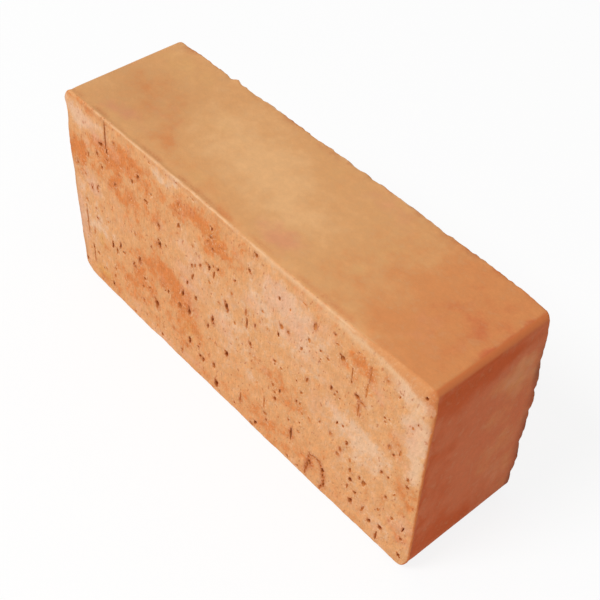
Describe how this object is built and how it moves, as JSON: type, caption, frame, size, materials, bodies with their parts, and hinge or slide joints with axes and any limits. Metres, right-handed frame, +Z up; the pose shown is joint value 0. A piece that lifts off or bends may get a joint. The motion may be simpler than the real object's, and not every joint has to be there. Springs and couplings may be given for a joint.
{
  "type": "clay brick",
  "caption": "Solid fired clay brick, extruded and wire-cut, standing on its long narrow face, with rounded die corners and pitted cut faces.",
  "frame": {"origin": "middle of the long narrow face that the brick stands on", "axes": "+X along the length, +Y through the thickness from the front wire-cut face to the back one, +Z up the width"},
  "size_m": [0.248, 0.067, 0.122],
  "materials": {
    "fired_clay": "matt unglazed fired clay, orange to pale pink on the cut faces and smooth orange on the die-skinned faces"
  },
  "bodies": {
    "root": {"brick": "fired_clay"}
  },
  "joints": []
}
